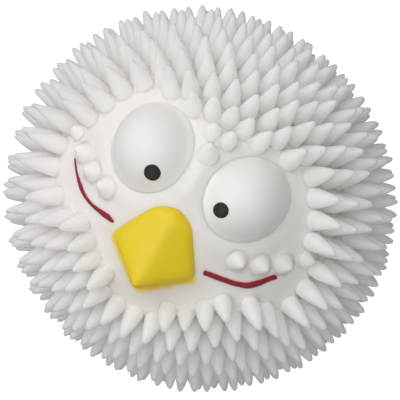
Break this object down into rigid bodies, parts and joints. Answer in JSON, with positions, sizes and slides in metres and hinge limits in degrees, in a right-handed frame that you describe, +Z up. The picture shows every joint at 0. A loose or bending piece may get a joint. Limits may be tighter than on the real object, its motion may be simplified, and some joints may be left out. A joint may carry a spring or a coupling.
{
  "type": "spiky squeaky ball",
  "caption": "Soft moulded ball covered in blunt spikes, with a chicken's face of domed eyes, beak and smile, and a push-in squeaker at the back.",
  "frame": {"origin": "on the floor under the middle of the ball as it lies on its back, on the ring of spikes round the squeaker", "axes": "+Z up and out of the face, +Y towards the forehead, -Y towards the chin, +X to the right of someone who looks at the face"},
  "size_m": [0.0998, 0.0962, 0.0899],
  "materials": {
    "white_vinyl": "soft satin vinyl, slightly see-through at thin edges",
    "eye_white": "sprayed matt white over vinyl",
    "pupil_black": "brushed black paint",
    "beak_yellow": "sprayed satin yellow over vinyl",
    "smile_red": "brushed crimson paint",
    "squeaker_plastic": "moulded white plastic",
    "reed_film": "thin clear strip"
  },
  "bodies": {
    "ball": {"skin": "white_vinyl", "squeaker_housing": "squeaker_plastic", "sound_cap": "squeaker_plastic", "whistle_tube": "squeaker_plastic", "reed_seat": "squeaker_plastic", "reed_clamp": "squeaker_plastic"},
    "face": {"left_eye": "eye_white", "right_eye": "eye_white", "left_pupil": "pupil_black", "right_pupil": "pupil_black", "left_smile": "smile_red", "right_smile": "smile_red", "beak": "beak_yellow"},
    "reed_tongue": {"reed": "reed_film"}
  },
  "joints": [
    {"name": "face_press", "type": "slide", "parent": "ball", "child": "face", "axis": [0, 0, -1], "range_m": [0, 0.018], "stiffness_N_per_m": 400, "deforming": ["skin"]},
    {"name": "reed_flex", "type": "hinge", "parent": "ball", "child": "reed_tongue", "pos_m": [0, 0, 0.01098], "axis": [-1, 0, 0], "range_deg": [-0.5, 3], "stiffness_Nm_per_rad": 0.00002}
  ]
}
